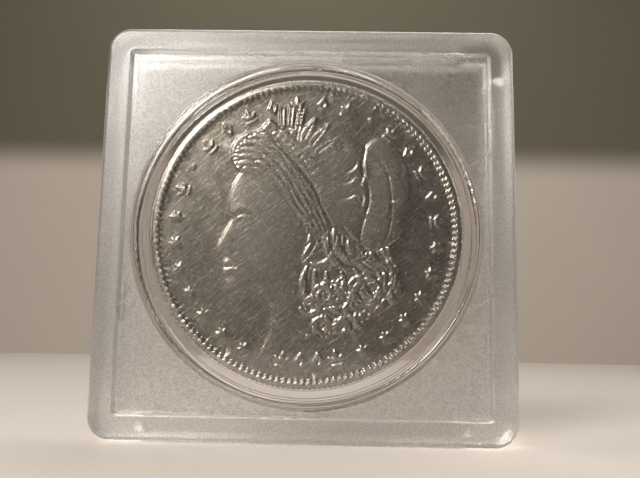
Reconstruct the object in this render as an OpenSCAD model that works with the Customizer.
// Square two-piece snap case that holds one crown-size coin, standing on its bottom edge.
// The case is drawn lying flat, face up, then stood upright with its face to the front (-Y).

/* [Coin] */
// Diameter of the coin
coin_d = 38.1; // [24:0.1:46]
// Thickness of the coin over its rim
coin_t = 2.4; // [1.6:0.05:3.2]
// Width of the coin's raised rim
coin_rim_w = 0.95; // [0.6:0.05:1.4]
// Depth of the coin's field below its rim
coin_field_drop = 0.3; // [0.15:0.01:0.4]
// Length of the teeth on the inside of the coin's rim
coin_tooth_len = 0.45; // [0.2:0.05:0.7]
// Number of teeth inside the coin's rim
coin_teeth = 150; // [60:1:180]
// Number of reeds round the coin's edge
coin_reeds = 189; // [90:1:220]
// Depth of the reeds
reed_depth = 0.1; // [0.05:0.01:0.15]
// Width of the plain step between the reeds and the bevel
reed_step = 0.04; // [0.03:0.01:0.1]
// Bevel at the coin's edge
coin_bevel = 0.15; // [0.1:0.01:0.25]

/* [Coin relief] */
// Height of the stars above the coin's field
star_h = 0.14; // [0.08:0.01:0.14]
// Radius of a star's points
star_r = 0.78; // [0.5:0.01:1]
// Distance of the stars' centres from the coin's rim
star_inset = 3.0; // [2.4:0.1:4]
// Stars on the left of the coin
stars_left = 7; // [1:1:9]
// Stars on the right of the coin
stars_right = 6; // [1:1:8]
// Angle between neighbouring stars
star_step = 11.5; // [10:0.5:14]

/* [Coin cell] */
// Clearance round the coin's edge
cell_clear = 0.2; // [0.1:0.05:0.5]
// Clearance over each face of the coin
face_clear = 0.1; // [0.05:0.05:0.3]
// Thickness of the rear shell's cell wall
cell_wall = 0.8; // [0.6:0.05:1.2]
// Gap between the nested cell walls
nest_gap = 0.1; // [0.05:0.05:0.2]
// Thickness of the front cover's wall round the cell
cover_wall = 1.1; // [0.8:0.05:1.6]
// Thickness of the clear window over each face of the coin
window_t = 1.2; // [0.9:0.05:1.8]
// Depth of the window below the rim
window_drop = 0.675; // [0.4:0.025:1]
// Radius of the rounded lip round the window, at the edge of the boss
lip_r = 0.4; // [0.25:0.05:0.4]
// Height of the lip above the window
lip_h = 0.15; // [0.15:0.05:0.2]
// Fillet at the foot of the round boss
boss_fillet = 0.35; // [0.2:0.05:0.35]

/* [Field] */
// Narrowest width of the flat field, between the boss and the rim
field_gap = 0.6; // [0.3:0.05:6]
// Thickness of the flat field
field_t = 1.0; // [0.8:0.05:1.4]
// Height of the boss above the field
boss_h = 0.6; // [0.6:0.05:1]
// Radius of the field's inside corners
field_corner_r = 0.5; // [0.4:0.05:2]

/* [Rim] */
// Thickness of the rim's outer wall
outer_wall = 0.8; // [0.7:0.05:1.4]
// Thickness of the rim's inner wall
inner_wall = 0.8; // [0.6:0.05:1.4]
// Corner radius of the case
corner_r = 2.8; // [2:0.1:5]
// Rounding of the outer edge of each face
edge_round = 0.65; // [0.3:0.05:0.7]
// Rounding of the rim's inner edge
rim_round = 0.25; // [0.1:0.05:0.4]
// Clear distance from the end of a side's groove and grip land to the corner
corner_clear = 5.5; // [4:0.1:9]
// Height of the grip lands above the sides
land_h = 0.2; // [0.1:0.05:0.4]
// Distance from a grip land's edge to the rounding of the case's edge
land_margin = 0.4; // [0.1:0.05:1]

/* [Snap fit] */
// Width of the groove in the rear shell
groove_w = 1.4; // [1:0.05:1.8]
// Depth of the groove
groove_depth = 1.6; // [1:0.05:1.8]
// Clearance on each face of the tongue
tongue_gap = 0.1; // [0.05:0.01:0.15]
// Clearance under the tongue
tongue_tip_gap = 0.2; // [0.1:0.05:0.4]
// Clearance at each end of the tongue
tongue_end_gap = 1.0; // [0.5:0.1:2]
// Chamfer at the tongue's tip
tongue_chamfer = 0.25; // [0.1:0.05:0.35]
// Radius of the snap bead along the tongue
bead_r = 0.3; // [0.2:0.05:0.4]
// How far the bead stands out of the tongue
bead_proud = 0.08; // [0.04:0.01:0.09]
// Gap between the two shells at the parting line
parting_gap = 0.04; // [0.02:0.01:0.1]
// Width of the pry notch in the parting line
notch_w = 2.2; // [1.5:0.1:3]
// Height of the pry notch across the parting line
notch_h = 1.1; // [0.6:0.1:1.6]
// Depth of the pry notch
notch_depth = 0.6; // [0.3:0.05:0.7]

/* [Hidden] */
$fn = 96;
cut = 1; // how far a cutter runs past a face

coin_r = coin_d / 2;
cell_r = coin_r + cell_clear;
cell_outer_r = cell_r + cell_wall;
pocket_r = cell_outer_r + nest_gap;
boss_r = pocket_r + cover_wall;
boss_foot_r = boss_r + boss_fillet;

// levels are measured from the parting plane towards one face
floor_z = coin_t / 2 + face_clear;
window_z = floor_z + window_t;
rim_z = window_z + window_drop;
lip_z = window_z + lip_h - lip_r;
field_z = window_z - boss_h;
field_in_z = field_z - field_t;
split_z = parting_gap / 2;

field_half = boss_foot_r + field_gap;
rim_w = outer_wall + groove_w + inner_wall;
body_half = field_half + rim_w;
case_half = body_half + land_h;
land_half_w = rim_z - edge_round - land_margin;
groove_mid = field_half + inner_wall + groove_w / 2;
groove_len = 2 * (case_half - corner_clear);
tongue_w = groove_w - 2 * tongue_gap;
tongue_len = groove_len - 2 * tongue_end_gap;
tongue_h = groove_depth - tongue_tip_gap;
bead_depth = tongue_h / 2;
notch_x = groove_len / 2 + notch_w / 2;

band_h = coin_t - 2 * coin_bevel;
end_r = coin_r - reed_depth - reed_step;
coin_field_z = coin_t / 2 - coin_field_drop;
tooth_r = coin_r - coin_rim_w - coin_tooth_len;
star_ring_r = coin_r - star_inset;

// Copies its children onto the four sides of the case
module each_side() {
    for (turn = [0 : 90 : 270])
        rotate(turn)
            children();
}

// Half of a rounded slab's outline: a bar from the axis to w, h high, with its top outer corner rounded
module rounded_bar(w, h, round_r) {
    square([w, h - round_r]);
    square([w - round_r, h]);
    translate([w - round_r, h - round_r])
        circle(round_r);
}

// Half of a recess cutter's outline: a bar from the axis to w that flares out at the height h
module flared_bar(w, h, flare_r) {
    square([w, h + cut]);
    translate([0, h])
        square([w + flare_r, cut]);
    difference() {
        translate([0, h - flare_r])
            square([w + flare_r, flare_r]);
        translate([w + flare_r, h - flare_r])
            circle(flare_r);
    }
}

// Sweeps one of those half outlines round a square with rounded corners.
// half is the flat sides' distance from the centre and r the corners' radius.
module swept_square(half, r) {
    straight = half - r;
    for (turn = [0, 90])
        rotate([90, 0, turn])
            linear_extrude(2 * straight, center = true)
                for (side = [0, 1])
                    mirror([side, 0])
                        children(0);
    for (sx = [-1, 1])
        for (sy = [-1, 1])
            translate([sx * straight, sy * straight])
                rotate_extrude($fn = 64)
                    children(1);
}

// The solid slab of one half, from the parting plane out to the rim, with its outer edge rounded
module half_slab() {
    swept_square(body_half, corner_r) {
        rounded_bar(body_half, rim_z, edge_round);
        rounded_bar(corner_r, rim_z, edge_round);
    }
}

// The square recess outside the flat field, flared at the rim's inner edge
module outside_recess() {
    depth = rim_z - field_z;
    translate([0, 0, field_z])
        swept_square(field_half, field_corner_r) {
            flared_bar(field_half, depth, rim_round);
            flared_bar(field_corner_r, depth, rim_round);
        }
}

// The round boss that carries the window: a rounded lip, and a wall with a filleted foot
module boss() {
    rotate_extrude() {
        translate([0, field_in_z])
            square([boss_r - lip_r, window_z - field_in_z]);
        translate([0, field_in_z])
            square([boss_r, lip_z - field_in_z]);
        translate([boss_r - lip_r, lip_z])
            circle(lip_r);
        difference() {
            translate([0, field_in_z])
                square([boss_foot_r, field_z + boss_fillet - field_in_z]);
            translate([boss_foot_r, field_z + boss_fillet])
                circle(boss_fillet);
        }
    }
}

// The space between the two fields, inside the rim's inner wall
module inside_recess() {
    translate([-field_half, -field_half, -cut])
        cube([2 * field_half, 2 * field_half, field_in_z + cut]);
}

// One half of the case with no cell and no snap fit. wall_in_r and wall_out_r bound its round inner wall.
module half_case(wall_in_r, wall_out_r) {
    difference() {
        union() {
            difference() {
                half_slab();
                outside_recess();
                inside_recess();
            }
            boss();
            round_wall(wall_in_r, wall_out_r, 0, field_z);
            each_side()
                grip_land();
        }
        translate([0, 0, -cut])
            cylinder(h = floor_z + cut, r = wall_in_r);
        translate([-case_half - cut, -case_half - cut, -cut])
            cube([2 * (case_half + cut), 2 * (case_half + cut), cut + split_z]);
        pry_notch();
    }
}

// A ring about the coin's axis
module round_wall(in_r, out_r, bottom, top) {
    translate([0, 0, bottom])
        difference() {
            cylinder(h = top - bottom, r = out_r);
            translate([0, 0, -cut])
                cylinder(h = top - bottom + 2 * cut, r = in_r);
        }
}

// A bar with round ends, lying along X
module round_ended_bar(len, w, h) {
    translate([-(len - w) / 2, -w / 2, 0])
        cube([len - w, w, h]);
    for (s = [-1, 1])
        translate([s * (len - w) / 2, 0, 0])
            cylinder(h = h, d = w, $fn = 48);
}

// The raised strip along one side, rounded at its ends, which spans both halves of the case
module grip_land() {
    intersection() {
        translate([0, -body_half + edge_round, 0])
            rotate([90, 0, 0])
                round_ended_bar(groove_len, 2 * land_half_w, edge_round + land_h);
        translate([-case_half, -case_half, 0])
            cube([2 * case_half, 2 * case_half, land_half_w + cut]);
    }
}

// The scoop in the parting line beside the right end of the bottom grip land
module pry_notch() {
    translate([notch_x - notch_w / 2, -case_half - cut, -cut])
        cube([notch_w, land_h + notch_depth + cut, notch_h / 2 + cut]);
}

// The rib of the snap fit along one side, on a wall at the distance wall_y from the coin's axis
module snap_rib(wall_y, len) {
    translate([0, bead_r - bead_proud - wall_y, -bead_depth])
        rotate([0, 90, 0])
            cylinder(h = len, r = bead_r, center = true, $fn = 32);
}

// The groove along one side, sunk from the parting plane, with the hollow that the snap bead drops into
module groove() {
    translate([0, -groove_mid, -groove_depth])
        round_ended_bar(groove_len, groove_w, groove_depth + cut);
    snap_rib(groove_mid + groove_w / 2, tongue_len);
}

// The tongue along one side, hanging from the front cover's parting face, with a chamfered tip and its snap bead
module tongue() {
    shank_h = tongue_h - tongue_chamfer + split_z;
    translate([0, -groove_mid, split_z - shank_h])
        round_ended_bar(tongue_len, tongue_w, shank_h);
    translate([0, -groove_mid, -tongue_h])
        round_ended_bar(tongue_len - 2 * tongue_chamfer, tongue_w - 2 * tongue_chamfer, tongue_chamfer);
    snap_rib(groove_mid + tongue_w / 2, tongue_len - groove_w);
}

// Stands a piece that lies face up at the coin's axis upright on the case's bottom edge, face to the front
module stand_up() {
    translate([0, 0, case_half])
        rotate([90, 0, 0])
            children();
}

// The rear shell: it carries the cell's wall and the four grooves
module rear_shell() {
    color([0.86, 0.85, 0.82, 0.5])
        stand_up() {
            difference() {
                mirror([0, 0, 1])
                    half_case(cell_r, boss_r);
                each_side()
                    groove();
            }
            round_wall(cell_r, cell_outer_r, -floor_z, floor_z - face_clear);
        }
}

// The front cover: it closes the cell and carries the four tongues
module front_cover() {
    color([0.9, 0.89, 0.87, 0.5])
        stand_up() {
            half_case(pocket_r, boss_r);
            each_side()
                tongue();
        }
}

// A closed zigzag round the axis between two radii
function zigzag(count, in_r, out_r) =
    [for (i = [0 : 2 * count - 1]) (i % 2 ? in_r : out_r) * [cos(180 * i / count), sin(180 * i / count)]];

// A six-pointed star
module star() {
    waist = star_r * 0.58;
    linear_extrude(star_h + cut)
        polygon([for (i = [0 : 11]) (i % 2 ? waist : star_r) * [cos(30 * i), sin(30 * i)]]);
}

// The arcs of stars inside the rim, standing on the field
module stars() {
    left_start = 180 - star_step * 0.5;
    right_start = -star_step * 0.5;
    for (i = [0 : stars_left - 1])
        rotate(left_start + i * star_step)
            translate([star_ring_r, 0, coin_field_z - cut])
                star();
    for (i = [0 : stars_right - 1])
        rotate(right_start - i * star_step)
            translate([star_ring_r, 0, coin_field_z - cut])
                star();
}

// The recess of one face of the coin, inside the toothed rim
module coin_face_recess() {
    translate([0, 0, coin_field_z])
        linear_extrude(coin_field_drop + cut)
            polygon(zigzag(coin_teeth, tooth_r, tooth_r + coin_tooth_len));
}

// The coin's reeded band, between its two bevelled ends
module coin_blank() {
    linear_extrude(band_h, center = true)
        polygon(zigzag(coin_reeds, coin_r - reed_depth, coin_r));
    for (side = [0, 1])
        mirror([0, 0, side])
            translate([0, 0, band_h / 2])
                cylinder(h = coin_bevel, r1 = end_r, r2 = end_r - coin_bevel);
}

// The coin: a reeded blank with a toothed rim, a sunk field on each face and stars on the front
module coin() {
    color("silver")
        stand_up() {
            difference() {
                coin_blank();
                for (side = [0, 1])
                    mirror([0, 0, side])
                        coin_face_recess();
            }
            stars();
        }
}

rear_shell();
front_cover();
coin();
